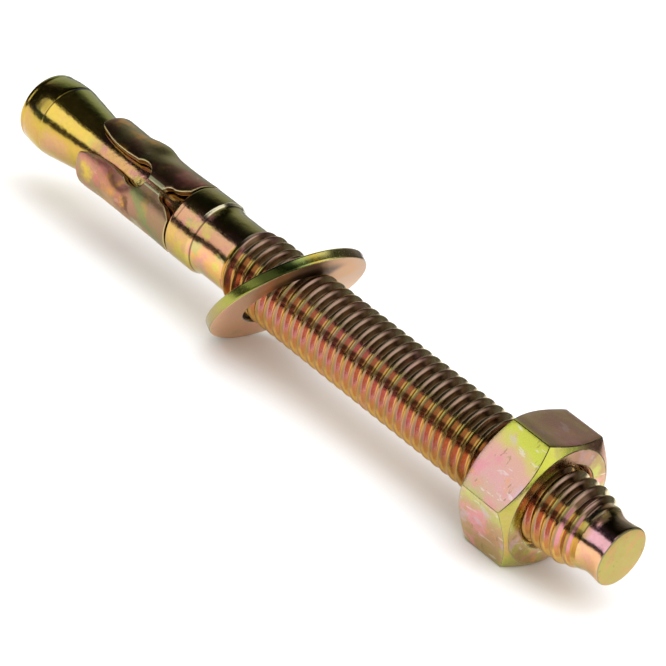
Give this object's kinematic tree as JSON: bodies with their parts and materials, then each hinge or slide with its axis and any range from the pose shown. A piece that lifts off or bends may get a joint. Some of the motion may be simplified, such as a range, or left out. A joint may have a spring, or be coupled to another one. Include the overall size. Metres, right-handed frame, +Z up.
{
  "type": "wedge anchor",
  "caption": "Steel wedge anchor lying on its nut: cone-ended stud with a slotted expansion clip round its neck, a loose slanted washer and a hex nut, in yellow chromate.",
  "frame": {"origin": "middle of the anchor's footprint, on the surface that it lies on", "axes": "+X runs along the stud from the cone to the struck end, which lies 1.1 degrees lower; +Z is up"},
  "size_m": [0.1022, 0.02, 0.0175],
  "materials": {
    "stud": "turned and rolled, yellow chromate on zinc",
    "clip": "stamped strip, mottled yellow chromate on zinc",
    "washer": "dull yellow chromate on zinc",
    "nut": "mottled yellow chromate on zinc"
  },
  "bodies": {
    "stud": {"anchor_stud": "stud"},
    "clip": {"expansion_clip": "clip"},
    "washer": {"washer": "washer"},
    "nut": {"hex_nut": "nut"}
  },
  "joints": [
    {"name": "nut_turn", "type": "hinge", "parent": "stud", "child": "nut", "pos_m": [0.03717, 0, 0.00795], "axis": [0.9998, 0, -0.0196], "continuous": true},
    {"name": "washer_slide", "type": "slide", "parent": "stud", "child": "washer", "axis": [0.9998, 0, -0.0196], "range_m": [-0.006, 0.0315]},
    {"name": "clip_turn", "type": "hinge", "parent": "stud", "child": "clip", "pos_m": [-0.03039, 0, 0.00927], "axis": [0.9998, 0, -0.0196], "continuous": true}
  ]
}
